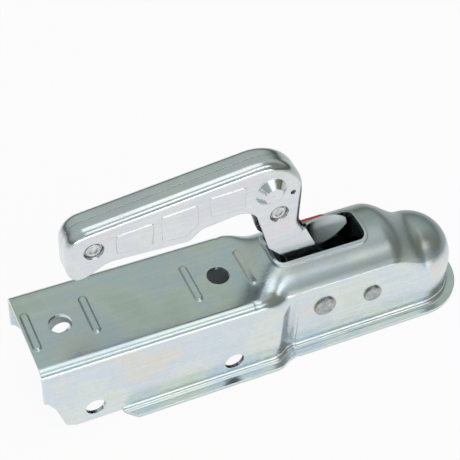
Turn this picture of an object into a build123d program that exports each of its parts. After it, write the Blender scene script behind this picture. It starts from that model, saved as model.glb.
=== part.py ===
from math import acos, asin, atan2, cos, hypot, pi, radians, sin, tan
import os

from build123d import *

# Trailer coupling head: a pressed body that caps a towing ball and bolts over a square drawbar,
# a two-shell lift handle, and the locking jaw that the handle's cam holds behind the ball.
# Millimetres. Origin at the ball centre, +X towards the nose, +Z up, mid-plane at Y = 0.

# Pressed body
ball_d = 50.0
ball_clear = 0.3
sheet = 2.5
drawbar_w = 60.0
drawbar_clear = 0.5
plate_z = 35.0  # top face of the rear plate
crest_z = 45.0  # crown of the housing over the lock
base_z = -23.0  # underside of the flange
flange_out = 7.5
flange_bend = 4.0
plate_bend = 6.5
crown_angle = 58.5  # half angle of the housing's crowned top
crown_corner = 3.5  # bend between the crown and the side wall
rear_x = -258.5
ramp_rear_x = -122.0
ramp_front_x = -99.0
joggle_rear_x = -110.0
joggle_front_x = -97.0
hood_end_x = -30.0  # the housing starts to fall to the dome here
dome_draw = 0.4  # the dome's crown is drawn this much tighter than its sides
loft_steps = 7

# Rear end of the side walls
tab_z = -20.5
tab_cut_z = 11.5
tab_cut_run = 12.0
tab_corner_r = 5.0
flange_rear_x = -211.0
flange_rear_cut = 8.0

# Drawbar bolts and stiffening beads
top_bolt_x = -136.5
top_bolt_pitch = 100.0
top_bolt_d = 14.0
side_bolt_x = -138.0
side_bolt_pitch = 90.0
side_bolt_z = -9.0
side_bolt_d = 12.5
bead_offset = 17.9
bead_length = 30.0
bead_w = 5.6
bead_h = 1.3
bead_slope = 45.0
bead_round = 0.9

# Opening for the handle
open_rear_x = -103.0
open_front_x = -42.2
open_half = 12.7
open_corner = 5.0
collar_w = 2.3
collar_h = 1.6
collar_round = 0.6
collar_root = 0.9  # share of the sheet that the collar reaches down into

# Pins
pivot_x = -75.2
pivot_z = 10.4
pivot_d = 12.0
pivot_head_d = 14.2
jaw_pin_x = -41.3
jaw_pin_z = 7.8
jaw_pin_d = 10.0
jaw_head_d = 11.8
pin_head_h = 1.6
pin_head_edge = 0.4
pin_tail_h = 1.8
pin_tail_round = 0.9
tail_overlap = 1.5  # the peened tail is this much wider than the shank, all round
washer_t = 1.5
washer_over = 4.0
run_fit = 0.05  # radial clearance of a turning fit
seat_fit = 0.03  # radial clearance of a fixed fit
end_play = 0.15
bush_wall = 1.6

# Handle, measured from the pivot pin
handle_half = 10.0
shell_t = 2.0
seam_gap = 0.1
grip_rear = -157.3
grip_front = -13.1
grip_top = 101.9  # height of the back line above the pin, at the rear end
grip_rise = 7.3  # slope of the back line, degrees
grip_rear_r = 14.0
grip_front_r = 30.0
grip_edge_r = 6.0
neck_z = 62.3
neck_r = 15.0
hub_r = 11.5
foot_front = (3.0, 29.5)
foot_back = (-20.6, 32.9)  # corners of the cheek's lower outline, from the foot back to the rear end
heel = (-33.5, 47.0)
arch_front = (-45.5, 86.0)
arch_mid = (-78.0, 81.0)
arch_step = (-85.0, 74.2)
palm = (-134.0, 76.5)
tail_top = (-147.0, 69.0)
tail_z = 68.0
lower_rounds = [8.0, 8.0, 14.0, 6.0, 4.0, 15.0, 12.0, 6.0]
foot_step = 1.0  # the foot is set in by this much below the crease
crease_at = (-33.6, 48.0)
crease_slope = 0.24
crease_lap = 2.0
crease_taper = 45.0
below = -40.0  # level that lies below all of the handle

# Handle details
rivet_d = 6.0
rivet_head_d = 8.8
rivet_head_h = 1.4
rivet_cup_d = 5.2
rivet_cup_h = 0.7
rivet_round = 0.6
rivet_rear = (-141.9, 87.9)
rivet_front = (-28.9, 75.0)
seat_d = 12.2  # round seat that the rivet's head is sunk into
seat_floor_d = 10.2
seat_depth = 2.2
seat_rim = 1.0
seat_round = 0.5
sleeve_wall = 2.0
boss_at = (-35.6, 95.4)
boss_d = 19.4
boss_top_d = 10.8
boss_h = 4.3
boss_rim = 2.0
boss_root = 1.2
boss_round = 1.0
lock_hole_at = (-21.2, 90.1)
lock_hole_d = 3.4
field_h = 0.4
field_round = 1.6
field_slope = 45.0
fields = [
    [(-129.6, 95.0), (-106.9, 97.3), (-107.5, 79.0), (-128.8, 81.0)],
    [(-102.8, 99.6), (-80.9, 101.6), (-79.8, 86.1), (-87.0, 79.1), (-102.1, 80.2)],
    [(-74.3, 103.9), (-51.3, 104.9), (-51.6, 87.6), (-72.6, 89.0)],
]
# Pointer, from its root to its tip: place along X, lower edge, upper edge, lean in degrees
pointer = [
    (1.0, 24.0, 38.0, 0.0),
    (11.0, 20.5, 37.0, 18.0),
    (22.0, 24.8, 35.8, 26.0),
    (29.2, 29.5, 32.5, 32.0),
]

# Lock
jaw_room = 8.3  # between the jaw and the wall, for the bush and the spring
jaw_hub_r = 8.5
jaw_gap = 0.4  # jaw face to ball surface
jaw_side_line = [
    (-33.0, 12.0),
    (-25.0, 9.0),
    (-22.0, -12.0),
    (-24.0, -17.5),
    (-31.0, -17.5),
    (-38.0, -6.0),
    (-49.0, 3.0),
]
jaw_rounds = [2.0, 2.0, 3.0, 2.0, 3.0, 8.0, 1.5]
cam_hub_r = 10.5
cam_nose = (24.6, -13.6)
cam_nose_r = 3.0
cam_web = [(-10.0, 0.0), (-15.0, 23.0), (2.0, 23.0), (10.0, 0.0)]
cam_rivet_d = 5.0
cam_rivet_head_d = 8.0
cam_rivet_head_h = 1.4
cam_rivet_round = 0.9
cam_rivets_at = [(-10.5, 17.5), (-1.5, 17.5)]

# Springs
handle_wire = 2.4
handle_half_turns = 7
jaw_wire = 1.5
jaw_half_turns = 3
jaw_hook_z = -10.0
jaw_hook_in = 3.0
coil_play = 0.5
coil_gap = 0.4
leg_gap = 0.3
leg_over = 4.5
hook_bend = 1.25  # bend of a hook, in wire diameters
bare_pin = 3.0  # length of the jaw pin left bare for the spring's fixed leg

# Indicator strip beside the opening
strip_t = 0.4
strip_front_x = -56.0
strip_rear_x = -92.0
strip_gap = 1.4
strip_seat = 0.02
strip_corner = 1.5
strip_angle = 12.0

# Worked out
nose_r = ball_d / 2 + ball_clear + sheet
rear_half = drawbar_w / 2 + drawbar_clear + sheet
bore_half = nose_r - sheet
jaw_half = bore_half - jaw_room
crown = radians(crown_angle)
crown_r = (nose_r - crown_corner * (1 - sin(crown))) / sin(crown)
crown_mid_z = crest_z - crown_r
dome_r = nose_r - dome_draw
dome_corner = (nose_r - dome_r * sin(crown)) / (1 - sin(crown))
dome_top = dome_r * sin(crown) * tan(crown / 2) + dome_corner * cos(crown)
flat_half = rear_half - plate_bend
bead_in = 2 * sheet * tan(radians(bead_slope / 2))
foot_outer = handle_half - foot_step
foot_inner = foot_outer - shell_t
pivot_bush_r = pivot_d / 2 + run_fit + bush_wall
jaw_bush_r = jaw_pin_d / 2 + run_fit + bush_wall
rise = tan(radians(grip_rise))
top_front_z = grip_top + (grip_front - grip_rear) * rise
side = Plane.XZ  # its normal points to -Y, the right-hand side
pivot_side = Plane(origin=(pivot_x, 0, pivot_z), x_dir=(1, 0, 0), z_dir=(0, -1, 0))
jaw_side = Plane(origin=(jaw_pin_x, 0, jaw_pin_z), x_dir=(1, 0, 0), z_dir=(0, -1, 0))

os.makedirs("parts", exist_ok=True)


def write(piece, name):
    piece.part.label = name
    export_step(piece.part, "parts/" + name + ".step")


def ease(x, start, end):
    share = min(max((x - start) / (end - start), 0), 1)
    return share * share * (3 - 2 * share)


def between(a, b, share):
    return a + (b - a) * share


def across(x):
    return Plane(origin=(x, 0, 0), x_dir=(0, 1, 0), z_dir=(1, 0, 0))


# Cross-section of the pressed sheet: crowned or flat top, side walls and outward flanges
def section_points(half, top, run, angle, flanged):
    corner = (half - run) / (1 - sin(angle))
    drop = run * tan(angle / 2)
    tangent = (run, top - drop)
    wall_top = top - drop - corner * cos(angle)
    middle = (angle + pi / 2) / 2
    hub = half - corner
    bend_z = base_z + sheet + flange_bend
    points = {}
    for name, inset in (("out", 0), ("in", sheet)):
        points[name] = {
            "crest": (0, top - inset),
            "tangent": (tangent[0] - inset * sin(angle), tangent[1] - inset * cos(angle)),
            "corner": (hub + (corner - inset) * sin(middle), wall_top + (corner - inset) * cos(middle)),
            "wall": (half - inset, wall_top),
            "foot": (half - inset, bend_z if flanged else tab_z),
            "bend": (
                half + flange_bend - (flange_bend + inset) * cos(pi / 4),
                bend_z - (flange_bend + inset) * sin(pi / 4),
            ),
            "flat": (half + flange_bend, base_z + sheet - inset),
            "lip": (half + flange_out, base_z + sheet - inset),
        }
    return points


def flip(point):
    return (-point[0], point[1])


def top_run(p, angle):
    if angle > 0:
        ThreePointArc(p["tangent"], p["crest"], flip(p["tangent"]))
    else:
        Line(p["tangent"], flip(p["tangent"]))


def wall_run(p, turn, flanged):
    ThreePointArc(turn(p["tangent"]), turn(p["corner"]), turn(p["wall"]))
    Line(turn(p["wall"]), turn(p["foot"]))
    if flanged:
        ThreePointArc(turn(p["foot"]), turn(p["bend"]), turn(p["flat"]))
        Line(turn(p["flat"]), turn(p["lip"]))


def same(point):
    return point


def sheet_section(x, half, top, run, angle, flanged=True):
    points = section_points(half, top, run, angle, flanged)
    end = "lip" if flanged else "foot"
    with BuildLine(across(x)) as outline:
        for name in ("out", "in"):
            top_run(points[name], angle)
            wall_run(points[name], same, flanged)
            wall_run(points[name], flip, flanged)
        Line(points["out"][end], points["in"][end])
        Line(flip(points["out"][end]), flip(points["in"][end]))
    return Face(outline.wire())


def ramp_section(x):
    share = ease(x, ramp_rear_x, ramp_front_x)
    half = between(rear_half, nose_r, ease(x, joggle_rear_x, joggle_front_x))
    run = between(flat_half, crown_r * sin(crown), ease(x, joggle_rear_x, joggle_front_x))
    return sheet_section(x, half, between(plate_z, crest_z, share), run, crown * share)


def hood_section(x):
    share = ease(x, hood_end_x, 0)
    radius = between(crown_r, dome_r, share)
    return sheet_section(x, nose_r, between(crest_z, dome_top, share), radius * sin(crown), crown)


def prism(face, length):
    with BuildPart() as run:
        extrude(face, amount=length, dir=(1, 0, 0))
    return run.part


def blend(maker, places):
    with BuildPart() as skin:
        loft([maker(x) for x in places])
    return skin.part


def stations(start, end):
    return [between(start, end, step / loft_steps) for step in range(loft_steps + 1)]


lead_in = 4.0
ramp_start = ramp_rear_x - lead_in
ramp_end = joggle_front_x + lead_in
hood_start = hood_end_x - lead_in
tab_face = sheet_section(rear_x, rear_half, plate_z, flat_half, 0, flanged=False)
rear_face = sheet_section(flange_rear_x, rear_half, plate_z, flat_half, 0)
hood_face = hood_section(ramp_end)
dome_points = section_points(nose_r, dome_top, dome_r * sin(crown), crown, True)
dome_mid_z = dome_top - dome_r

# Front dome: the half section at the ball centre turned about the upright axis
with BuildPart() as dome:
    with BuildSketch(across(0)):
        with BuildLine():
            for name in ("out", "in"):
                loop = dome_points[name]
                radius = loop["crest"][1] - dome_mid_z
                half_way = (radius * sin(crown / 2), dome_mid_z + radius * cos(crown / 2))
                ThreePointArc(loop["crest"], half_way, loop["tangent"])
                wall_run(loop, same, True)
            Line(dome_points["out"]["lip"], dome_points["in"]["lip"])
            Line(dome_points["out"]["crest"], dome_points["in"]["crest"])
        make_face()
    revolve(axis=Axis.Z, revolution_arc=-180)

# Raised collar that stiffens the edge of the opening
open_length = open_front_x - open_rear_x
open_mid_x = (open_front_x + open_rear_x) / 2
with BuildPart() as collar:
    with BuildSketch(across(open_rear_x - 2 * collar_w)):
        with Locations((0, crown_mid_z)):
            Circle(crown_r + collar_h)
    extrude(amount=open_length + 4 * collar_w)
    with BuildSketch(Plane.XY.offset(crown_mid_z)):
        with Locations((open_mid_x, 0)):
            RectangleRounded(open_length + 2 * collar_w, 2 * (open_half + collar_w), open_corner + collar_w)
    extrude(amount=2 * crown_r, mode=Mode.INTERSECT)
    fillet(collar.faces().sort_by(Axis.Z)[-1].edges(), collar_round)
    with BuildSketch(across(open_rear_x - 2 * collar_w)):
        with Locations((0, crown_mid_z)):
            Circle(crown_r - collar_root * sheet)
    extrude(amount=open_length + 4 * collar_w, mode=Mode.SUBTRACT)

# Coupling body
with BuildPart() as coupling_body:
    add(prism(tab_face, flange_rear_x - rear_x))
    add(prism(rear_face, ramp_start - flange_rear_x))
    add(blend(ramp_section, [ramp_start] + stations(ramp_rear_x, joggle_front_x) + [ramp_end]))
    add(prism(hood_face, hood_start - ramp_end))
    add(blend(hood_section, [hood_start] + stations(hood_end_x, 0)))
    add(dome.part)
    add(collar.part)
    # Opening in the top
    with BuildSketch(Plane.XY.offset(crown_mid_z)):
        with Locations((open_mid_x, 0)):
            RectangleRounded(open_length, 2 * open_half, open_corner)
    extrude(amount=2 * crown_r, mode=Mode.SUBTRACT)
    # Stiffening beads either side of each top bolt, pressed up from below
    for bolt in range(2):
        for way in (-1, 1):
            bead_x = top_bolt_x - bolt * top_bolt_pitch + way * bead_offset
            with BuildSketch(Plane.XY.offset(plate_z)):
                with Locations((bead_x, 0)):
                    SlotOverall(bead_length, bead_w, rotation=90)
            extrude(amount=bead_h, taper=bead_slope)
    bead_z = plate_z + bead_h
    bead_tops = coupling_body.faces().filter_by(lambda f: abs(f.center().Z - bead_z) < bead_h / 100)
    fillet(bead_tops.edges(), bead_round)
    for bolt in range(2):
        for way in (-1, 1):
            bead_x = top_bolt_x - bolt * top_bolt_pitch + way * bead_offset
            with BuildSketch(Plane.XY.offset(plate_z - sheet)):
                with Locations((bead_x, 0)):
                    SlotOverall(bead_length - bead_in, bead_w - bead_in, rotation=90)
            extrude(amount=bead_h, taper=bead_slope, mode=Mode.SUBTRACT)
    # Drawbar bolt holes
    with Locations(Plane.XY.offset(plate_z)):
        with Locations((top_bolt_x, 0), (top_bolt_x - top_bolt_pitch, 0)):
            Hole(top_bolt_d / 2, depth=2 * sheet)
    with BuildSketch(side):
        with Locations((side_bolt_x, side_bolt_z), (side_bolt_x - side_bolt_pitch, side_bolt_z)):
            Circle(side_bolt_d / 2)
        with Locations((pivot_x, pivot_z)):
            Circle(pivot_d / 2 + seat_fit)
        with Locations((jaw_pin_x, jaw_pin_z)):
            Circle(jaw_pin_d / 2 + seat_fit)
    extrude(amount=2 * rear_half, both=True, mode=Mode.SUBTRACT)
    # Rear corners of the side walls, cut back towards the bottom
    with BuildSketch(side):
        with BuildLine():
            FilletPolyline(
                (rear_x - sheet, tab_cut_z),
                (rear_x + 2.5, tab_cut_z - 4),
                (rear_x + 6.5, tab_cut_z - 11),
                (rear_x + tab_cut_run, tab_z + 3),
                (rear_x + tab_cut_run + 6, tab_z),
                (rear_x + tab_cut_run + 6, tab_z - sheet),
                (rear_x - sheet, tab_z - sheet),
                radius=[2.5, 6, tab_corner_r, 0.5, 0.5, 0.5, 0.5],
                close=True,
            )
        make_face()
    extrude(amount=2 * rear_half, both=True, mode=Mode.SUBTRACT)
    # Rear ends of the flanges, cut off at a slant
    with BuildSketch(Plane.XY.offset(base_z - 1)):
        for way in (-1, 1):
            with BuildLine():
                Polyline(
                    (flange_rear_x, way * (rear_half + 1)),
                    (flange_rear_x, way * (rear_half + 2 * flange_out)),
                    (flange_rear_x + 2 * flange_rear_cut, way * (rear_half + 2 * flange_out)),
                    close=True,
                )
            make_face()
    extrude(amount=flange_bend + 2 * sheet, mode=Mode.SUBTRACT)
write(coupling_body, "coupling_body")

# Side view of one handle shell, with its foot and hub
deep = 2 * handle_half
near = (0, -1, 0)
with BuildSketch(pivot_side) as cheek:
    with BuildLine():
        FilletPolyline(
            (grip_rear, grip_top),
            (grip_front, top_front_z),
            (grip_front, neck_z),
            foot_front,
            (hub_r, 0),
            (-hub_r, 0),
            foot_back,
            heel,
            arch_front,
            arch_mid,
            arch_step,
            palm,
            tail_top,
            (grip_rear, tail_z),
            radius=[grip_rear_r, grip_front_r, neck_r, 0, 0, 0] + lower_rounds,
            close=True,
        )
    make_face()
    Circle(hub_r)

# Side view of the handle's closed back, run down past the cheek's lower outline
foot_slope = (foot_front[0] - grip_front) / (neck_z - foot_front[1])
toe_x = foot_front[0] + foot_slope * (foot_front[1] - below)
with BuildSketch(pivot_side) as back:
    with BuildLine():
        FilletPolyline(
            (grip_rear, below),
            (grip_rear, grip_top),
            (grip_front, top_front_z),
            (grip_front, neck_z),
            (toe_x, below),
            radius=[0, grip_rear_r, grip_front_r, neck_r, 0],
            close=True,
        )
    make_face()

# One half of the closed back, with its long bend into the cheek
with BuildPart() as bent_back:
    extrude(back.sketch.moved(Location((0, -seam_gap, 0))), amount=handle_half - seam_gap, dir=near)
    fillet(bent_back.faces().sort_by(Axis.Y)[0].edges().sort_by(Axis.Z)[1:], grip_edge_r)

# The hollow between the cheeks, with the inside of that bend
roof_drop = shell_t / cos(radians(grip_rise))
with BuildPart() as hollow:
    with BuildSketch(pivot_side):
        with BuildLine():
            FilletPolyline(
                (grip_rear + shell_t, below),
                (grip_rear + shell_t, grip_top + shell_t * rise - roof_drop),
                (grip_front - shell_t, top_front_z - shell_t * rise - roof_drop),
                (grip_front - shell_t, below),
                radius=[0, grip_rear_r - shell_t, grip_front_r - shell_t, 0],
                close=True,
            )
        make_face()
    extrude(amount=handle_half - shell_t)
    fillet(hollow.faces().sort_by(Axis.Y)[0].edges().sort_by(Axis.Z)[1:], grip_edge_r - shell_t)

# The back stays open in front of the foot
with BuildPart() as mouth:
    with BuildSketch(pivot_side):
        with BuildLine():
            Polyline(
                (grip_front - deep, neck_z),
                (toe_x, neck_z),
                (toe_x, below),
                (grip_front - deep, below),
                close=True,
            )
        make_face()
    extrude(amount=handle_half - shell_t)


def crease_z(x):
    return crease_at[1] + (x - crease_at[0]) * crease_slope


crease_rear = 2 * crease_at[0]
with BuildSketch(pivot_side) as under_crease:
    with BuildLine():
        Polyline(
            (crease_rear, crease_z(crease_rear)),
            (toe_x, crease_z(toe_x)),
            (toe_x, below),
            (crease_rear, below),
            close=True,
        )
    make_face()

# Foot of a shell, set in by the step at the crease, and its lap under the cheek
with BuildPart() as foot:
    extrude(under_crease.sketch.moved(Location((0, -foot_inner, 0))), amount=shell_t, dir=near)
    extrude(cheek.sketch, amount=deep, dir=near, mode=Mode.INTERSECT)
with BuildPart() as foot_lap:
    extrude(under_crease.sketch.moved(Location((0, -foot_inner, crease_lap))), amount=shell_t, dir=near)
    extrude(cheek.sketch, amount=deep, dir=near, mode=Mode.INTERSECT)
    add(bent_back.part, mode=Mode.INTERSECT)

# Round boss pressed out of the cheek, as a disc of the sheet
outer_side = pivot_side.offset(handle_half)
boss_slope = atan2(boss_h, (boss_d - boss_top_d) / 2)
boss_in_top = boss_top_d / 2 - shell_t * tan(boss_slope / 2)
boss_in_foot = boss_d / 2 - shell_t * tan(boss_slope / 2)
boss_disc_r = boss_d / 2 + boss_rim
boss_mid = outer_side.from_local_coords(boss_at)
with BuildPart() as boss:
    with BuildSketch(Plane(boss_mid, x_dir=(1, 0, 0), z_dir=(0, 0, 1))) as boss_cut:
        with BuildLine():
            Polyline(
                (0, -boss_h),
                (boss_top_d / 2, -boss_h),
                (boss_d / 2, 0),
                (boss_disc_r, 0),
                (boss_disc_r, shell_t),
                (boss_in_foot, shell_t),
                (boss_in_top, shell_t - boss_h),
                (0, shell_t - boss_h),
                close=True,
            )
        make_face()
        brow = boss_mid + Vector(boss_top_d / 2, -boss_h, 0)
        fillet(boss_cut.vertices().sort_by_distance(brow)[0], boss_round)
        root = boss_mid + Vector(boss_d / 2, 0, 0)
        fillet(boss_cut.vertices().sort_by_distance(root)[0], boss_root)
    revolve(axis=Axis(boss_mid, (0, 1, 0)))

# Round seat pressed into the cheek for a rivet's head
seat_slope = atan2(seat_depth, (seat_d - seat_floor_d) / 2)
seat_out = shell_t * tan(seat_slope / 2)
seat_disc_r = seat_d / 2 + seat_out + seat_rim


def rivet_seat(at):
    mid = outer_side.from_local_coords(at)
    with BuildPart() as seat:
        with BuildSketch(Plane(mid, x_dir=(1, 0, 0), z_dir=(0, 0, 1))) as cut:
            with BuildLine():
                Polyline(
                    (0, seat_depth),
                    (seat_floor_d / 2, seat_depth),
                    (seat_d / 2, 0),
                    (seat_disc_r, 0),
                    (seat_disc_r, shell_t),
                    (seat_d / 2 + seat_out, shell_t),
                    (seat_floor_d / 2 + seat_out, seat_depth + shell_t),
                    (0, seat_depth + shell_t),
                    close=True,
                )
            make_face()
            fillet(cut.vertices().sort_by_distance(mid + Vector(seat_d / 2, 0, 0))[0], seat_round)
        revolve(axis=Axis(mid, (0, 1, 0)))
    return seat.part


# Right handle shell
with BuildPart() as handle_right_shell:
    add(bent_back.part)
    extrude(cheek.sketch, amount=deep, dir=near, mode=Mode.INTERSECT)
    add(hollow.part, mode=Mode.SUBTRACT)
    add(mouth.part, mode=Mode.SUBTRACT)
    step_side = under_crease.sketch.moved(Location((0, -handle_half, 0)))
    extrude(step_side, amount=-shell_t, taper=crease_taper, mode=Mode.SUBTRACT)
    add(foot.part)
    add(foot_lap.part)
    # Pressed fields on the cheek
    for corners in fields:
        with BuildSketch(outer_side):
            with BuildLine():
                FilletPolyline(*corners, radius=field_round, close=True)
            make_face()
        extrude(amount=field_h, taper=field_slope)
    # Round boss and the seats of the rivets
    with BuildSketch(outer_side):
        with Locations(boss_at):
            Circle(boss_disc_r)
        with Locations(rivet_rear, rivet_front):
            Circle(seat_disc_r)
    extrude(amount=-shell_t, mode=Mode.SUBTRACT)
    add(boss.part)
    add(rivet_seat(rivet_rear))
    add(rivet_seat(rivet_front))
    # Holes for the pivot, the rivets and a padlock
    with BuildSketch(pivot_side):
        Circle(pivot_d / 2 + run_fit)
        with Locations(rivet_rear, rivet_front):
            Circle(rivet_d / 2 + seat_fit)
        with Locations(*cam_rivets_at):
            Circle(cam_rivet_d / 2 + seat_fit)
        with Locations(lock_hole_at):
            Circle(lock_hole_d / 2)
    extrude(amount=deep, mode=Mode.SUBTRACT)
write(handle_right_shell, "handle_right_shell")


# Cross-section of the pointer, which grows out of the foot and twists to face upwards
def pointer_section(x, low, high, lean):
    up = (sin(radians(lean)), cos(radians(lean)))
    tall = (high - low) / 2 / up[1]
    thick = shell_t / 2
    mid = (foot_outer - thick, pivot_z + (low + high) / 2)
    corners = [
        (mid[0] + a * tall * up[0] + b * thick * up[1], mid[1] + a * tall * up[1] - b * thick * up[0])
        for a, b in ((-1, -1), (1, -1), (1, 1), (-1, 1))
    ]
    with BuildSketch(across(pivot_x + x)) as cut:
        with BuildLine():
            Polyline(*corners, close=True)
        make_face()
    return cut.sketch.faces()[0]


# Left handle shell, with the pointer that shows when the lock is home
pointer_cuts = [pointer_section(*place) for place in pointer]
with BuildPart() as handle_left_shell:
    mirror(handle_right_shell.part, about=Plane.XZ)
    loft(pointer_cuts)
write(handle_left_shell, "handle_left_shell")

# Tubular rivets and the sleeves that keep the cheeks apart
head_seat = handle_half - seat_depth
for name, at in (("rear", rivet_rear), ("front", rivet_front)):
    with BuildPart() as rivet:
        with Locations(pivot_side.location * Location(at)):
            Cylinder(rivet_d / 2, 2 * head_seat)
        for way in (-1, 1):
            with BuildSketch(pivot_side.offset(way * head_seat)):
                with Locations(at):
                    Circle(rivet_head_d / 2)
            extrude(amount=way * rivet_head_h)
        rims = rivet.edges().filter_by(lambda e: abs(abs(e.center().Y) - head_seat - rivet_head_h) < 0.01)
        fillet(rims, rivet_round)
        for way in (-1, 1):
            with BuildSketch(pivot_side.offset(way * (head_seat + rivet_head_h))):
                with Locations(at):
                    Circle(rivet_cup_d / 2)
            extrude(amount=-way * rivet_cup_h, mode=Mode.SUBTRACT)
    write(rivet, name + "_handle_rivet")
    with BuildPart() as sleeve:
        with BuildSketch(pivot_side):
            with Locations(at):
                Circle(rivet_d / 2 + run_fit + sleeve_wall)
                Circle(rivet_d / 2 + run_fit, mode=Mode.SUBTRACT)
        extrude(amount=head_seat - shell_t, both=True)
    write(sleeve, name + "_handle_sleeve")

# Lock cam between the feet
with BuildPart() as lock_cam:
    with BuildSketch(pivot_side):
        Circle(cam_hub_r)
        with Locations(cam_nose):
            Circle(cam_nose_r)
        make_hull()
        with BuildLine():
            Polyline(*cam_web, close=True)
        make_face()
        Circle(pivot_d / 2 + run_fit, mode=Mode.SUBTRACT)
        with Locations(*cam_rivets_at):
            Circle(cam_rivet_d / 2 + seat_fit, mode=Mode.SUBTRACT)
    extrude(amount=foot_inner, both=True)
write(lock_cam, "lock_cam")

# Rivets that hold the cam between the feet
with BuildPart() as cam_rivets:
    with BuildSketch(pivot_side):
        with Locations(*cam_rivets_at):
            Circle(cam_rivet_d / 2)
    extrude(amount=foot_outer, both=True)
    for way in (-1, 1):
        with BuildSketch(pivot_side.offset(way * foot_outer)):
            with Locations(*cam_rivets_at):
                Circle(cam_rivet_head_d / 2)
        extrude(amount=way * cam_rivet_head_h)
    cam_rivet_end = foot_outer + cam_rivet_head_h
    domes = cam_rivets.edges().filter_by(lambda e: abs(abs(e.center().Y) - cam_rivet_end) < 0.01)
    fillet(domes, cam_rivet_round)
write(cam_rivets, "cam_rivets")


# Pin with a turned head on the right and a peened tail on the left
def headed_pin(plane, d, head_d):
    tail_y = nose_r + washer_t
    with BuildPart() as pin:
        with BuildSketch(plane.offset(-tail_y)):
            Circle(d / 2)
        extrude(amount=tail_y + nose_r)
        with BuildSketch(plane.offset(nose_r)):
            Circle(head_d / 2)
        extrude(amount=pin_head_h)
        with BuildSketch(plane.offset(-tail_y)):
            Circle(d / 2 + tail_overlap)
        extrude(amount=-pin_tail_h)
        ends = pin.faces().sort_by(Axis.Y)
        fillet(ends[-1].edges(), pin_tail_round)
        chamfer(ends[0].edges(), pin_head_edge)
    return pin


def ring(plane, inner_r, outer_r, start_y, end_y):
    with BuildPart() as tube:
        with BuildSketch(plane.offset(-start_y)):
            Circle(outer_r)
            Circle(inner_r, mode=Mode.SUBTRACT)
        extrude(amount=start_y - end_y)
    return tube


pivot_pin = headed_pin(pivot_side, pivot_d, pivot_head_d)
write(pivot_pin, "pivot_pin")
jaw_pin = headed_pin(jaw_side, jaw_pin_d, jaw_head_d)
write(jaw_pin, "jaw_pin")

# Washers under the peened tails
pivot_hole_r = pivot_d / 2 + run_fit
jaw_hole_r = jaw_pin_d / 2 + run_fit
pivot_washer = ring(pivot_side, pivot_hole_r, pivot_d / 2 + washer_over, nose_r, nose_r + washer_t)
write(pivot_washer, "pivot_washer")
jaw_washer = ring(jaw_side, jaw_hole_r, jaw_pin_d / 2 + washer_over, nose_r, nose_r + washer_t)
write(jaw_washer, "jaw_washer")

# Bushes that keep the handle and the jaw in the middle of the housing
bush_end = bore_half - end_play
pivot_bush_in = foot_outer + end_play
jaw_bush_in = jaw_half + end_play
right_pivot_bush = ring(pivot_side, pivot_hole_r, pivot_bush_r, -bush_end, -pivot_bush_in)
write(right_pivot_bush, "right_pivot_bush")
left_pivot_bush = ring(pivot_side, pivot_hole_r, pivot_bush_r, pivot_bush_in, bush_end)
write(left_pivot_bush, "left_pivot_bush")
right_jaw_bush = ring(jaw_side, jaw_hole_r, jaw_bush_r, bare_pin - bore_half, -jaw_bush_in)
write(right_jaw_bush, "right_jaw_bush")
left_jaw_bush = ring(jaw_side, jaw_hole_r, jaw_bush_r, jaw_bush_in, bush_end)
write(left_jaw_bush, "left_jaw_bush")

# Locking jaw, hollowed to the ball
with BuildPart() as locking_jaw:
    with BuildSketch(side):
        with BuildLine():
            FilletPolyline(*jaw_side_line, radius=jaw_rounds, close=True)
        make_face()
        with Locations((jaw_pin_x, jaw_pin_z)):
            Circle(jaw_hub_r)
            Circle(jaw_hole_r, mode=Mode.SUBTRACT)
    extrude(amount=jaw_half, both=True)
    Sphere(ball_d / 2 + jaw_gap, mode=Mode.SUBTRACT)
write(locking_jaw, "locking_jaw")


# Point on a spring's coil
def spot(mid, radius, turn, y):
    return Vector(mid[0] + radius * cos(turn), y, mid[1] + radius * sin(turn))


# Coil as half turns, each leaning over by half the pitch, and a flat last stretch
def wind(mid, radius, y, climb, turn, halves, way, rest_turn=0):
    middle_r = hypot(radius, climb / 2)
    for half in range(halves):
        begin = spot(mid, radius, turn, y)
        middle = spot(mid, middle_r, turn + way * pi / 2, y + climb / 2)
        turn += way * pi
        y += climb
        ThreePointArc(begin, middle, spot(mid, radius, turn, y))
    if rest_turn > 0:
        begin = spot(mid, radius, turn, y)
        middle = spot(mid, radius, turn + way * rest_turn / 2, y)
        ThreePointArc(begin, middle, spot(mid, radius, turn + way * rest_turn, y))


# Straight leg from the coil, bent square into a hook
def hooked(begin, corner, end, bend):
    along = (corner - begin).normalized()
    inward = (end - corner).normalized()
    Line(begin, corner - along * bend)
    TangentArc(corner - along * bend, corner + inward * bend, tangent=along)
    Line(corner + inward * bend, end)


# Handle spring on the right pivot bush: the fixed leg lies on the jaw pin, the other hooks round the foot
pivot_mid = (pivot_x, pivot_z)
coil_r = pivot_bush_r + coil_play + handle_wire / 2
handle_climb = (handle_wire + coil_gap) / 2
fixed_y = -bore_half + leg_gap + handle_wire / 2
moving_y = fixed_y + handle_climb * handle_half_turns
pin_out = jaw_pin_d / 2 + leg_gap + handle_wire / 2
pin_gap = hypot(jaw_pin_x - pivot_x, jaw_pin_z - pivot_z)
tilt = atan2(jaw_pin_z - pivot_z, jaw_pin_x - pivot_x) + asin((coil_r + pin_out) / pin_gap)
leg_way = Vector(cos(tilt), 0, sin(tilt))
coil_from = tilt - pi / 2
coil_begin = spot(pivot_mid, coil_r, coil_from, fixed_y)
coil_end = spot(pivot_mid, coil_r, coil_from - pi * handle_half_turns, moving_y)
rest_end = coil_begin + leg_way * ((pin_gap**2 - (coil_r + pin_out) ** 2) ** 0.5 + leg_over)
front_run = (hub_r - foot_front[0]) / foot_front[1]
front_out = (leg_gap + handle_wire / 2) * (1 + front_run**2) ** 0.5
front_x = pivot_x + hub_r + front_out
hook_leg = (front_x - coil_end.X - front_run * (coil_end.Z - pivot_z)) / (leg_way.X + front_run * leg_way.Z)
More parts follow.
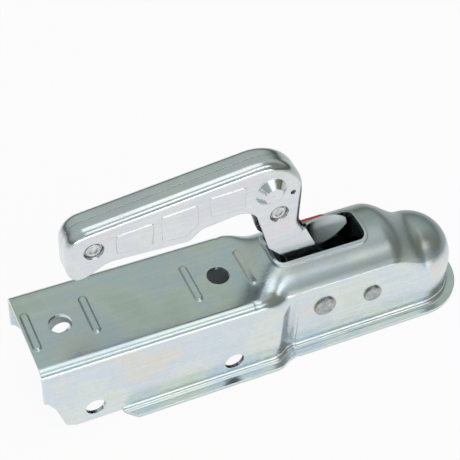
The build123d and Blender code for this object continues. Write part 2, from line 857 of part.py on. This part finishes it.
hook_corner = coil_end + leg_way * hook_leg
hook_tip = Vector(hook_corner.X, -foot_inner, hook_corner.Z)
with BuildPart() as handle_spring:
    with BuildLine() as handle_path:
        Line(rest_end, coil_begin)
        wind(pivot_mid, coil_r, fixed_y, handle_climb, coil_from, handle_half_turns, -1)
        hooked(coil_end, hook_corner, hook_tip, hook_bend * handle_wire)
    with BuildSketch(Plane(rest_end, z_dir=-leg_way)):
        Circle(handle_wire / 2)
    sweep(path=handle_path.line)
write(handle_spring, "handle_spring")


# Angle where a line from a point touches the coil
def touch(mid, radius, point, way):
    run = point[0] - mid[0]
    climb = point[1] - mid[1]
    return atan2(climb, run) + way * acos(radius / hypot(run, climb))


# Jaw spring on the left jaw bush: the fixed leg bears on the pivot bush, the other hooks behind the jaw
jaw_mid = (jaw_pin_x, jaw_pin_z)
jaw_coil_r = jaw_bush_r + coil_play + jaw_wire / 2
jaw_fixed_y = bore_half - leg_gap - jaw_wire / 2
jaw_rest = (pivot_x, pivot_z - pivot_bush_r - leg_gap - jaw_wire / 2)
back_low = jaw_side_line[4]
back_high = jaw_side_line[5]
back_run = (back_high[0] - back_low[0]) / (back_high[1] - back_low[1])
back_out = (leg_gap + jaw_wire / 2) * (1 + back_run**2) ** 0.5
jaw_hook = (back_low[0] + (jaw_hook_z - back_low[1]) * back_run - back_out, jaw_hook_z)
jaw_from = touch(jaw_mid, jaw_coil_r, jaw_rest, 1)
jaw_to = touch(jaw_mid, jaw_coil_r, jaw_hook, -1)
jaw_flat = (jaw_to - jaw_from - pi * jaw_half_turns) % (2 * pi)
jaw_climb = (jaw_wire + coil_gap) / (3 + cos(jaw_flat)) * 2
jaw_moving_y = jaw_fixed_y - jaw_climb * jaw_half_turns
jaw_begin = spot(jaw_mid, jaw_coil_r, jaw_from, jaw_fixed_y)
jaw_end = spot(jaw_mid, jaw_coil_r, jaw_to, jaw_moving_y)
jaw_leg = Vector(jaw_rest[0], jaw_fixed_y, jaw_rest[1]) - jaw_begin
jaw_rest_end = jaw_begin + jaw_leg + jaw_leg.normalized() * leg_over
jaw_corner = Vector(jaw_hook[0], jaw_moving_y, jaw_hook[1])
jaw_tip = Vector(jaw_hook[0], jaw_half - jaw_hook_in, jaw_hook[1])
with BuildPart() as jaw_spring:
    with BuildLine() as jaw_path:
        Line(jaw_rest_end, jaw_begin)
        wind(jaw_mid, jaw_coil_r, jaw_fixed_y, -jaw_climb, jaw_from, jaw_half_turns, 1, jaw_flat)
        hooked(jaw_end, jaw_corner, jaw_tip, hook_bend * jaw_wire)
    with BuildSketch(Plane(jaw_rest_end, z_dir=-jaw_leg)):
        Circle(jaw_wire / 2)
    sweep(path=jaw_path.line)
write(jaw_spring, "jaw_spring")

# Indicator strip on the left shoulder, beside the opening
strip_from = asin((open_half + collar_w + strip_gap) / crown_r)
strip_to = strip_from + radians(strip_angle)
strip_in = crown_r + strip_seat
strip_out = strip_in + strip_t


def shoulder(radius, angle):
    return (radius * sin(angle), crown_mid_z + radius * cos(angle))


with BuildPart() as indicator_strip:
    with BuildSketch(across(strip_rear_x)):
        with BuildLine():
            strip_half = (strip_from + strip_to) / 2
            for radius in (strip_in, strip_out):
                ThreePointArc(*[shoulder(radius, angle) for angle in (strip_from, strip_half, strip_to)])
            for angle in (strip_from, strip_to):
                Line(shoulder(strip_in, angle), shoulder(strip_out, angle))
        make_face()
    extrude(amount=strip_front_x - strip_rear_x)
    corners = indicator_strip.edges().filter_by(lambda e: abs(e.length - strip_t) < 0.01)
    fillet(corners, strip_corner)
write(indicator_strip, "indicator_strip")
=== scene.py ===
from math import pi, radians

import bpy
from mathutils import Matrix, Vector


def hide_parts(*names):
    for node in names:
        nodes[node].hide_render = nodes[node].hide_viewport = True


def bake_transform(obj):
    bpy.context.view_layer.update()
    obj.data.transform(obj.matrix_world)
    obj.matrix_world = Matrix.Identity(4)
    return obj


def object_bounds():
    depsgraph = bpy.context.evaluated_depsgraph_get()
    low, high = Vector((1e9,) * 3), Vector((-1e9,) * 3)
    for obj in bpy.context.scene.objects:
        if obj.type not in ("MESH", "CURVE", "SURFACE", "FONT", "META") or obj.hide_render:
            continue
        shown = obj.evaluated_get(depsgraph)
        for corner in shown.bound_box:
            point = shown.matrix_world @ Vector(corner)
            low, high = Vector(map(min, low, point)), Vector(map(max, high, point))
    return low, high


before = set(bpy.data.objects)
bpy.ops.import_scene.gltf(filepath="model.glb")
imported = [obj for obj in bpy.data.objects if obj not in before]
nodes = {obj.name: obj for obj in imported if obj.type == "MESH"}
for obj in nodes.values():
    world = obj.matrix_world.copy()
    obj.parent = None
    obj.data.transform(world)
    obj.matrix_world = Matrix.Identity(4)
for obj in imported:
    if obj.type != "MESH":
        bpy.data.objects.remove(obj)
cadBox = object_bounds()
mm = 0.001
bpy.ops.object.select_all(action="DESELECT")
print("frame loaded:", len(nodes), "nodes")


def hexColor(text):  # sRGB hex to linear
    values = [int(text[i:i + 2], 16) / 255 for i in (1, 3, 5)]
    return [v / 12.92 if v <= 0.04045 else ((v + 0.055) / 1.055) ** 2.4 for v in values] + [1.0]


def addNode(tree, kind, inputs=None, **settings):  # a node with its settings, values and links
    node = tree.nodes.new(kind)
    for name, value in settings.items():
        setattr(node, name, value)
    for socket, value in (inputs or {}).items():
        if isinstance(value, bpy.types.NodeSocket):
            tree.links.new(value, node.inputs[socket])
        else:
            node.inputs[socket].default_value = value
    return node


def newMaterial(name):
    material = bpy.data.materials.new(name)
    material.use_nodes = True
    return material, material.node_tree, material.node_tree.nodes["Principled BSDF"]


def setRamp(node, stops):  # colour stops as place and hex
    ramp = node.color_ramp.elements
    while len(ramp) < len(stops):
        ramp.new(0.5)
    for stop, (place, tone) in zip(ramp, stops):
        stop.position = place
        stop.color = hexColor(tone)


def dress(material, *names):  # give CAD nodes their finish
    for name in names:
        mesh = nodes[name].data
        mesh.materials.clear()
        mesh.materials.append(material)


# Sizes and depths in mm, shades as factors on the tint
zincLook = {
    "tints": [
        (0.30, "#d1dcd4"), (0.43, "#dde3e0"), (0.55, "#d4dfe7"), (0.66, "#dfe0dd"), (0.76, "#e1ddce"),
    ],
    "cloudMm": 42,
    "cloudSpan": (0.3, 0.7),  # part of the clouds that the roughness runs over
    "roughness": (0.19, 0.30),
    "drawnMm": (70, 2.4, 2.4),  # faint lines along the press direction, coarse enough to show
    "drawnShade": (0.90, 1.06),
    "speckMm": 1.3,  # coarser than real zinc flecks, so that they show
    "speckShade": (0.91, 1.07),
    "scratchMm": (34, 0.55, 0.55),
    "scratchTurn": (0.3, 0.5, 0.4),
    "scratchSpan": (0.695, 0.725),
    "scratchRough": 0.14,
    "scratchDeep": -0.8,  # against the height of the grain
    "dentMm": 19,
    "dentDeep": 0.045,
    "grainMm": 0.8,  # coarser than the real grain, so that it shows
    "grainDeep": 0.006,
    # bright edges: partly wear, partly a painted edge highlight
    "edgeMm": 0.45,
    "edgeTurn": (0.99, 0.90),
    "edgeWearAndHighlight": 0.8,
    "edgeWearAndHighlightTone": "#f2f5f5",
    # painted shade: corners and creases found by ambient occlusion turn darker towards the crevice tone,
    # and rougher
    "creviceMm": 3,
    "creviceSpan": (0.35, 0.85),
    "creviceShadeStrength": 0.75,
    "creviceRough": 0.2,
    "creviceShadeTone": "#9aa09b",
    "zonePlace": {"X": (-108, -90), "Z": (3, 9)},  # painted shade on the crown and dome, which are also rougher, from edge to full
    "zoneUp": (0.42, 0.54),  # on faces that look up
    "zoneRough": 0.10,
    # painted shade: darkens the zone's tone by this factor
    "zonePaintedLight": 0.75,
}


# Bright zinc plate on pressed sheet: satin, slightly uneven, with thin green, blue and straw tints,
# fine drawn lines and scratches, bright edges that are partly wear and partly painted highlight,
# painted shade in the corners, and one zone apart with painted shade or painted highlight
def zincPlate(name, look):
    material, tree, shader = newMaterial(name)
    coords = addNode(tree, "ShaderNodeTexCoord").outputs
    place = coords["Object"]
    cloud = addNode(tree, "ShaderNodeTexNoise", {
        "Vector": place, "Scale": 1 / (look["cloudMm"] * mm), "Detail": 3.0, "Roughness": 0.55,
    }).outputs["Fac"]
    tint = addNode(tree, "ShaderNodeValToRGB", {"Fac": cloud})
    setRamp(tint, look["tints"])
    drawnPlace = addNode(tree, "ShaderNodeMapping", {
        "Vector": place, "Scale": [1 / (size * mm) for size in look["drawnMm"]],
    }).outputs["Vector"]
    drawn = addNode(tree, "ShaderNodeTexNoise", {
        "Vector": drawnPlace, "Scale": 1.0, "Detail": 4.0,
    }).outputs["Fac"]
    speck = addNode(tree, "ShaderNodeTexNoise", {
        "Vector": place, "Scale": 1 / (look["speckMm"] * mm), "Detail": 3.0, "Roughness": 0.6,
    }).outputs["Fac"]
    scratchPlace = addNode(tree, "ShaderNodeMapping", {
        "Vector": place, "Rotation": look["scratchTurn"],
        "Scale": [1 / (size * mm) for size in look["scratchMm"]],
    }).outputs["Vector"]
    scratchNoise = addNode(tree, "ShaderNodeTexNoise", {
        "Vector": scratchPlace, "Scale": 1.0, "Detail": 1.0,
    }).outputs["Fac"]
    scratch = addNode(tree, "ShaderNodeMapRange", {
        "Value": scratchNoise, "From Min": look["scratchSpan"][0], "From Max": look["scratchSpan"][1],
    }).outputs["Result"]

    # zone of painted light: painted shade on the body's crown and dome, painted highlight on the handle's
    # finger
    facing = addNode(tree, "ShaderNodeSeparateXYZ", {"Vector": coords["Normal"]}).outputs["Z"]
    paintedLightZone = addNode(tree, "ShaderNodeMapRange", {
        "Value": facing, "From Min": look["zoneUp"][0], "From Max": look["zoneUp"][1],
    }, interpolation_type="SMOOTHSTEP").outputs["Result"]
    axes = addNode(tree, "ShaderNodeSeparateXYZ", {"Vector": place}).outputs
    for axis, (start, full) in look["zonePlace"].items():
        inside = addNode(tree, "ShaderNodeMapRange", {
            "Value": axes[axis], "From Min": start * mm, "From Max": full * mm,
        }, interpolation_type="SMOOTHSTEP").outputs["Result"]
        paintedLightZone = addNode(tree, "ShaderNodeMath", {0: inside, 1: paintedLightZone}, operation="MULTIPLY").outputs[0]

    shade = addNode(tree, "ShaderNodeMix", {
        0: paintedLightZone, 2: 1.0, 3: look["zonePaintedLight"],
    }, data_type="FLOAT").outputs[0]
    for pattern, (low, high) in ((drawn, look["drawnShade"]), (speck, look["speckShade"])):
        part = addNode(tree, "ShaderNodeMix", {0: pattern, 2: low, 3: high}, data_type="FLOAT").outputs[0]
        shade = addNode(tree, "ShaderNodeMath", {0: shade, 1: part}, operation="MULTIPLY").outputs[0]
    toned = addNode(tree, "ShaderNodeVectorMath", {
        0: tint.outputs["Color"], "Scale": shade,
    }, operation="SCALE").outputs[0]
    # painted shade in corners and creases, from ambient occlusion
    crevice = addNode(tree, "ShaderNodeAmbientOcclusion", {"Distance": look["creviceMm"] * mm}, samples=6)
    closed = addNode(tree, "ShaderNodeMapRange", {
        "Value": crevice.outputs["AO"],
        "From Min": look["creviceSpan"][0], "From Max": look["creviceSpan"][1],
        "To Min": look["creviceShadeStrength"], "To Max": 0.0,
    }).outputs["Result"]
    creviceShaded = addNode(tree, "ShaderNodeMix", {
        0: closed, 6: toned, 7: hexColor(look["creviceShadeTone"]),
    }, data_type="RGBA").outputs[2]
    edge = addNode(tree, "ShaderNodeBevel", {"Radius": look["edgeMm"] * mm}, samples=4).outputs["Normal"]
    face = addNode(tree, "ShaderNodeNewGeometry").outputs["Normal"]
    turned = addNode(tree, "ShaderNodeVectorMath", {
        0: edge, 1: face,
    }, operation="DOT_PRODUCT").outputs["Value"]
    # painted edge highlight, partly wear: edges found by the bevel turn towards the bright edge tone
    brightEdge = addNode(tree, "ShaderNodeMapRange", {
        "Value": turned, "From Min": look["edgeTurn"][0], "From Max": look["edgeTurn"][1],
        "To Max": look["edgeWearAndHighlight"],
    }).outputs["Result"]
    colour = addNode(tree, "ShaderNodeMix", {
        0: brightEdge, 6: creviceShaded, 7: hexColor(look["edgeWearAndHighlightTone"]),
    }, data_type="RGBA").outputs[2]
    tree.links.new(colour, shader.inputs["Base Color"])

    rough = addNode(tree, "ShaderNodeMapRange", {
        "Value": cloud, "From Min": look["cloudSpan"][0], "From Max": look["cloudSpan"][1],
        "To Min": look["roughness"][0], "To Max": look["roughness"][1],
    }).outputs["Result"]
    for mark, added in ((scratch, "scratchRough"), (closed, "creviceRough"), (paintedLightZone, "zoneRough")):
        rough = addNode(tree, "ShaderNodeMath", {
            0: mark, 1: look[added], 2: rough,
        }, operation="MULTIPLY_ADD").outputs[0]
    tree.links.new(rough, shader.inputs["Roughness"])

    dent = addNode(tree, "ShaderNodeTexNoise", {
        "Vector": place, "Scale": 1 / (look["dentMm"] * mm), "Detail": 1.0,
    }).outputs["Fac"]
    wavy = addNode(tree, "ShaderNodeBump", {
        "Height": dent, "Distance": look["dentDeep"] * mm, "Normal": edge,
    }).outputs["Normal"]
    grain = addNode(tree, "ShaderNodeTexNoise", {
        "Vector": place, "Scale": 1 / (look["grainMm"] * mm), "Detail": 2.0,
    }).outputs["Fac"]
    pitted = addNode(tree, "ShaderNodeMath", {
        0: scratch, 1: look["scratchDeep"], 2: grain,
    }, operation="MULTIPLY_ADD").outputs[0]
    bump = addNode(tree, "ShaderNodeBump", {
        "Height": pitted, "Distance": look["grainDeep"] * mm, "Normal": wavy,
    }).outputs["Normal"]
    tree.links.new(bump, shader.inputs["Normal"])
    shader.inputs["Metallic"].default_value = 1.0
    return material


# The handle's plate is smoother and less green than the body's, and its pointer finger is rougher, with a
# painted highlight
handleLook = {
    **zincLook,
    "tints": [
        (0.30, "#d6dcda"), (0.43, "#e0e3e4"), (0.55, "#dbdfe5"), (0.66, "#e1dfe3"), (0.76, "#e2ded5"),
    ],
    "cloudMm": 30,
    "roughness": (0.14, 0.24),
    "dentMm": 13,
    "dentDeep": 0.025,
    "zonePlace": {"X": (-74, -66), "Y": (0, 2), "Z": (62, 52)},  # the finger
    "zoneUp": (-2.0, -1.0),  # whichever way a face looks
    "zoneRough": 0.4,
    # painted highlight: lightens the finger's tone by this factor
    "zonePaintedLight": 1.2,
}
dress(zincPlate("zincPlatedPressedSteel", zincLook), "coupling_body")
dress(zincPlate("zincPlatedHandle", handleLook), "handle_right_shell", "handle_left_shell")
print("zinc on")

# Each steel has a dark and a light tone, roughness from and to, the pitch of its tool lines and its wearers
steelLook = {
    "turnedPinSteel": {  # dull grey pin ends with brighter rims
        "tones": ("#8d9190", "#c3c6c4"), "roughness": (0.26, 0.42), "pitchMm": 0.9,
        "wearers": ["pivot_pin", "jaw_pin"],
    },
    "zincPlatedRivet": {  # light and satin, near the tone of the handle
        "tones": ("#b4b9b8", "#e2e5e4"), "roughness": (0.20, 0.32), "pitchMm": 0.7,
        "wearers": ["rear_handle_rivet", "front_handle_rivet", "cam_rivets"],
    },
    "plainTurnedSteel": {  # middle grey with fine turned lines
        "tones": ("#7f8281", "#b2b5b4"), "roughness": (0.26, 0.40), "pitchMm": 0.6,
        "wearers": [
            "pivot_washer", "jaw_washer", "right_pivot_bush", "left_pivot_bush",
            "right_jaw_bush", "left_jaw_bush", "rear_handle_sleeve", "front_handle_sleeve",
        ],
    },
    "phosphatedLockSteel": {  # near black, with a soft sheen
        "tones": ("#2b2d2d", "#565857"), "roughness": (0.40, 0.58), "pitchMm": 1.6,
        "wearers": ["lock_cam", "locking_jaw"],
    },
    "oiledSpringWire": {  # dark wire with a wet gleam
        "tones": ("#3f4343", "#7c807f"), "roughness": (0.22, 0.36), "pitchMm": 0.8,
        "wearers": ["handle_spring", "jaw_spring"],
    },
}
machiningLook = {
    "patchMm": 2.6, "toneSpan": (0.33, 0.67), "roughSpan": (0.3, 0.7),
    "rimMm": 0.3, "rimTurn": (0.99, 0.88),
    "linesPerMm": 0.15,  # across the pitch, so the lines run long
    "grainMm": 0.6, "toolDeep": 0.012,
}


# Machined and rolled steel: a darker and a lighter tone in patches, fine tool lines round Y, soft grain
def machinedSteel(name, look, cut):
    material, tree, shader = newMaterial(name)
    place = addNode(tree, "ShaderNodeTexCoord").outputs["Object"]
    patch = addNode(tree, "ShaderNodeTexNoise", {
        "Vector": place, "Scale": 1 / (cut["patchMm"] * mm), "Detail": 4.0, "Roughness": 0.6,
    }).outputs["Fac"]
    tone = addNode(tree, "ShaderNodeMapRange", {
        "Value": patch, "From Min": cut["toneSpan"][0], "From Max": cut["toneSpan"][1],
    }).outputs["Result"]
    brightEdge = addNode(tree, "ShaderNodeBevel", {"Radius": cut["rimMm"] * mm}, samples=4).outputs["Normal"]
    face = addNode(tree, "ShaderNodeNewGeometry").outputs["Normal"]
    turned = addNode(tree, "ShaderNodeVectorMath", {
        0: brightEdge, 1: face,
    }, operation="DOT_PRODUCT").outputs["Value"]
    rim = addNode(tree, "ShaderNodeMapRange", {
        "Value": turned, "From Min": cut["rimTurn"][0], "From Max": cut["rimTurn"][1],
    }).outputs["Result"]
    light = addNode(tree, "ShaderNodeMath", {0: tone, 1: rim}, operation="MAXIMUM").outputs[0]
    colour = addNode(tree, "ShaderNodeMix", {
        0: light, 6: hexColor(look["tones"][0]), 7: hexColor(look["tones"][1]),
    }, data_type="RGBA").outputs[2]
    tree.links.new(colour, shader.inputs["Base Color"])
    rough = addNode(tree, "ShaderNodeMapRange", {
        "Value": patch, "From Min": cut["roughSpan"][0], "From Max": cut["roughSpan"][1],
        "To Min": look["roughness"][0], "To Max": look["roughness"][1],
    }).outputs["Result"]
    tree.links.new(rough, shader.inputs["Roughness"])
    along = cut["linesPerMm"] / mm
    lines = addNode(tree, "ShaderNodeMapping", {
        "Vector": place, "Scale": (along, 1 / (look["pitchMm"] * mm), along),
    }).outputs["Vector"]
    tool = addNode(tree, "ShaderNodeTexNoise", {
        "Vector": lines, "Scale": 1.0, "Detail": 2.0,
    }).outputs["Fac"]
    grain = addNode(tree, "ShaderNodeTexNoise", {
        "Vector": place, "Scale": 1 / (cut["grainMm"] * mm), "Detail": 2.0,
    }).outputs["Fac"]
    height = addNode(tree, "ShaderNodeMath", {0: tool, 1: grain}, operation="ADD").outputs[0]
    bump = addNode(tree, "ShaderNodeBump", {
        "Height": height, "Distance": cut["toolDeep"] * mm, "Normal": brightEdge,
    }).outputs["Normal"]
    tree.links.new(bump, shader.inputs["Normal"])
    shader.inputs["Metallic"].default_value = 1.0
    return material


for steelName, steel in steelLook.items():
    dress(machinedSteel(steelName, steel, machiningLook), *steel["wearers"])
print("steels on")

# Torsion springs: each CAD spring becomes a new piece with joined points and smooth shading; the CAD node
# is hidden
springLook = {
    "joinMm": 0.001, "smoothAngle": 40,
    "wires": {
        # CAD node: new piece, body that the free leg follows, Y in mm where the twist starts and ends
        "handle_spring": {
            "piece": "handleSpringWire", "follows": "handle", "fixedY": -22.5, "freeY": -15.0,
        },
        "jaw_spring": {
            "piece": "jawSpringWire", "follows": "jaw", "fixedY": 22.4, "freeY": 19.0,
        },
    },
}
for springNode, spring in springLook["wires"].items():
    wire = bpy.data.objects.new(spring["piece"], nodes[springNode].data.copy())
    bpy.context.collection.objects.link(wire)
    bpy.ops.object.select_all(action="DESELECT")
    bpy.context.view_layer.objects.active = wire
    wire.select_set(True)
    bpy.ops.object.mode_set(mode="EDIT")
    bpy.ops.mesh.select_all(action="SELECT")
    bpy.ops.mesh.remove_doubles(threshold=springLook["joinMm"] * mm)
    bpy.ops.object.mode_set(mode="OBJECT")
    bpy.ops.object.shade_smooth_by_angle(angle=radians(springLook["smoothAngle"]))
    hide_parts(springNode)
    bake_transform(wire)
bpy.ops.object.select_all(action="DESELECT")

stripLook = {
    "red": "#c8202c", "dark": "#8e1219", "gloss": 0.25, "roughness": (0.42, 0.60),
    "fleckMm": 1.6, "fleckSpan": (0.60, 0.72), "fleckDeep": 0.01, "wearMm": 5.0,
}
# Printed film: clear red ink with small dark flecks, smooth but not glassy
stripMaterial, stripTree, stripShader = newMaterial("redPrintedFilm")
stripPlace = addNode(stripTree, "ShaderNodeTexCoord").outputs["Object"]
fleck = addNode(stripTree, "ShaderNodeTexNoise", {
    "Vector": stripPlace, "Scale": 1 / (stripLook["fleckMm"] * mm), "Detail": 3.0,
}).outputs["Fac"]
dark = addNode(stripTree, "ShaderNodeMapRange", {
    "Value": fleck, "From Min": stripLook["fleckSpan"][0], "From Max": stripLook["fleckSpan"][1],
}).outputs["Result"]
ink = addNode(stripTree, "ShaderNodeMix", {
    0: dark, 6: hexColor(stripLook["red"]), 7: hexColor(stripLook["dark"]),
}, data_type="RGBA").outputs[2]
stripTree.links.new(ink, stripShader.inputs["Base Color"])
rubbed = addNode(stripTree, "ShaderNodeTexNoise", {
    "Vector": stripPlace, "Scale": 1 / (stripLook["wearMm"] * mm),
}).outputs["Fac"]
sheen = addNode(stripTree, "ShaderNodeMapRange", {
    "Value": rubbed, "To Min": stripLook["roughness"][0], "To Max": stripLook["roughness"][1],
}).outputs["Result"]
stripTree.links.new(sheen, stripShader.inputs["Roughness"])
stripShader.inputs["Specular IOR Level"].default_value = stripLook["gloss"]
stripBump = addNode(stripTree, "ShaderNodeBump", {
    "Height": fleck, "Distance": stripLook["fleckDeep"] * mm,
}).outputs["Normal"]
stripTree.links.new(stripBump, stripShader.inputs["Normal"])
dress(stripMaterial, "indicator_strip")
print("strip on")

# Pale floor that reads white, with a faint shadow, and dark in the closed space under the lock
floorLook = {
    "size": 40.0, "z": cadBox[0][2], "tone": "#f8f8f8", "roughness": 0.9, "white": 0.93,
    "shadeMm": 130, "shadeSpan": (0.20, 0.48),
    "openX": -0.11,  # behind this the camera sees the floor white, also through the bolt holes
    "sheet": [  # white sheet that reflections see: direction, dark end, white end
        ((1, 0, 0), -0.75, -0.45), ((1, 0, 0), 0.45, 0.18), ((0.7, 0.7, 0), 0.13, 0.01),
        ((0, 1, 0), -1.5, -0.9), ((0, 1, 0), 0.9, 0.5),
    ],
    "sheetDark": 0.22,
}
bpy.ops.mesh.primitive_plane_add(size=floorLook["size"], location=(0, 0, floorLook["z"]))
floor = bpy.context.object
floor.name = "floor"
floorMaterial, floorTree, floorShader = newMaterial("paleFloor")
floorShader.inputs["Base Color"].default_value = hexColor(floorLook["tone"])
floorShader.inputs["Roughness"].default_value = floorLook["roughness"]
ray = addNode(floorTree, "ShaderNodeLightPath").outputs
toCamera = ray["Is Camera Ray"]
seen = toCamera
for kind in ("Is Glossy Ray", "Is Transmission Ray"):
    seen = addNode(floorTree, "ShaderNodeMath", {0: seen, 1: ray[kind]}, operation="MAXIMUM").outputs[0]
cover = addNode(floorTree, "ShaderNodeAmbientOcclusion", {"Distance": floorLook["shadeMm"] * mm}, samples=8)
lit = addNode(floorTree, "ShaderNodeMapRange", {
    "Value": cover.outputs["AO"],
    "From Min": floorLook["shadeSpan"][0], "From Max": floorLook["shadeSpan"][1],
}).outputs["Result"]
floorPlace = addNode(floorTree, "ShaderNodeNewGeometry").outputs["Position"]
for way, darkEnd, whiteEnd in floorLook["sheet"]:
    along = addNode(floorTree, "ShaderNodeVectorMath", {
        0: floorPlace, 1: way,
    }, operation="DOT_PRODUCT").outputs["Value"]
    onSheet = addNode(floorTree, "ShaderNodeMapRange", {
        "Value": along, "From Min": darkEnd, "From Max": whiteEnd, "To Min": floorLook["sheetDark"],
    }, interpolation_type="SMOOTHSTEP").outputs["Result"]
    onSheet = addNode(floorTree, "ShaderNodeMath", {
        0: onSheet, 1: toCamera,
    }, operation="MAXIMUM").outputs[0]
    lit = addNode(floorTree, "ShaderNodeMath", {0: lit, 1: onSheet}, operation="MULTIPLY").outputs[0]
floorX = addNode(floorTree, "ShaderNodeSeparateXYZ", {"Vector": floorPlace}).outputs["X"]
behind = addNode(floorTree, "ShaderNodeMath", {
    0: floorX, 1: floorLook["openX"],
}, operation="LESS_THAN").outputs[0]
direct = addNode(floorTree, "ShaderNodeMath", {0: behind, 1: toCamera}, operation="MULTIPLY").outputs[0]
lit = addNode(floorTree, "ShaderNodeMath", {0: lit, 1: direct}, operation="MAXIMUM").outputs[0]
white = addNode(floorTree, "ShaderNodeMath", {
    0: lit, 1: floorLook["white"],
}, operation="MULTIPLY").outputs[0]
share = addNode(floorTree, "ShaderNodeMath", {0: seen, 1: white}, operation="MULTIPLY").outputs[0]
glow = addNode(floorTree, "ShaderNodeEmission", {"Color": (1, 1, 1, 1), "Strength": 1.0})
mixed = addNode(floorTree, "ShaderNodeMixShader", {
    0: share, 1: floorShader.outputs["BSDF"], 2: glow.outputs["Emission"],
})
floorTree.links.new(mixed.outputs[0], floorTree.nodes["Material Output"].inputs["Surface"])
floor.data.materials.append(floorMaterial)

# Studio: grey-green room with a dark horizon, an even near side and a warmer, darker corner in front
roomLook = {
    "stops": [  # from straight down to straight up
        (0.0, "#4a504f"), (0.50, "#3f4544"), (0.58, "#626b69"),
        (0.66, "#a2ada7"), (0.74, "#b2bdb6"), (1.0, "#bac4be"),
    ],
    "nearTone": "#a9b6b3",
    "nearY": (-0.2, -0.6),
    "nearZ": (0.25, 0.50),
    "cornerTone": "#86837a",
    "corner": (0.72, -0.36, 0.59),
    "cornerSpan": (0.84, 0.96),
}
world = bpy.data.worlds.new("studio")
bpy.context.scene.world = world
world.use_nodes = True
roomTree = world.node_tree
direction = addNode(roomTree, "ShaderNodeTexCoord").outputs["Generated"]
split = addNode(roomTree, "ShaderNodeSeparateXYZ", {"Vector": direction}).outputs
level = addNode(roomTree, "ShaderNodeMapRange", {
    "Value": split["Z"], "From Min": -1.0, "From Max": 1.0,
}).outputs["Result"]
room = addNode(roomTree, "ShaderNodeValToRGB", {"Fac": level})
setRamp(room, roomLook["stops"])
near = addNode(roomTree, "ShaderNodeMapRange", {
    "Value": split["Y"], "From Min": roomLook["nearY"][0], "From Max": roomLook["nearY"][1],
}, interpolation_type="SMOOTHSTEP").outputs["Result"]
high = addNode(roomTree, "ShaderNodeMapRange", {
    "Value": split["Z"], "From Min": roomLook["nearZ"][0], "From Max": roomLook["nearZ"][1],
}, interpolation_type="SMOOTHSTEP").outputs["Result"]
near = addNode(roomTree, "ShaderNodeMath", {0: near, 1: high}, operation="MULTIPLY").outputs[0]
roomTone = addNode(roomTree, "ShaderNodeMix", {
    0: near, 6: room.outputs["Color"], 7: hexColor(roomLook["nearTone"]),
}, data_type="RGBA").outputs[2]
aim = addNode(roomTree, "ShaderNodeVectorMath", {
    0: direction, 1: roomLook["corner"],
}, operation="DOT_PRODUCT").outputs["Value"]
inCorner = addNode(roomTree, "ShaderNodeMapRange", {
    "Value": aim, "From Min": roomLook["cornerSpan"][0], "From Max": roomLook["cornerSpan"][1],
}, interpolation_type="SMOOTHSTEP").outputs["Result"]
roomTone = addNode(roomTree, "ShaderNodeMix", {
    0: inCorner, 6: roomTone, 7: hexColor(roomLook["cornerTone"]),
}, data_type="RGBA").outputs[2]
roomTree.links.new(roomTone, roomTree.nodes["Background"].inputs["Color"])

# Soft boxes: a weak one overhead, a high one in front and a low strip for the bright lines on the bends
lampLook = {
    "overheadBox": {"place": (0.0, -0.1, 1.6), "turn": (0, 0, 0), "size": (1.2, 1.0), "glow": 0.8},
    "highFrontBox": {"place": (0.52, -1.44, 1.63), "turn": (44, 0, 20), "size": (1.9, 0.62), "glow": 1.3},
    "lowFrontBox": {"place": (-0.45, -2.3, 0.27), "turn": (86, 0, 0), "size": (3.8, 0.34), "glow": 3.5},
}
for lampName, lamp in lampLook.items():
    turn = [radians(angle) for angle in lamp["turn"]]
    bpy.ops.object.light_add(type="AREA", location=lamp["place"], rotation=turn)
    box = bpy.context.object
    box.name = lampName
    box.visible_camera = False
    box.data.shape = "RECTANGLE"
    box.data.size, box.data.size_y = lamp["size"]
    box.data.energy = lamp["glow"] * pi * lamp["size"][0] * lamp["size"][1]  # even glow over the box

cameraLook = {
    "place": (-0.36091, -0.45862, 0.60806), "turn": (43.7213, -2.5278, -24.0476),
    "lens": 99.32, "sensor": 36, "clipStart": 0.01,
}
cameraTurn = [radians(angle) for angle in cameraLook["turn"]]
bpy.ops.object.camera_add(location=cameraLook["place"], rotation=cameraTurn)
camera = bpy.context.object
camera.data.sensor_width = cameraLook["sensor"]
camera.data.lens = cameraLook["lens"]
camera.data.clip_start = cameraLook["clipStart"]
bpy.context.scene.camera = camera
bpy.context.scene.view_settings.view_transform = "Standard"
print("stage, lamps and camera set")
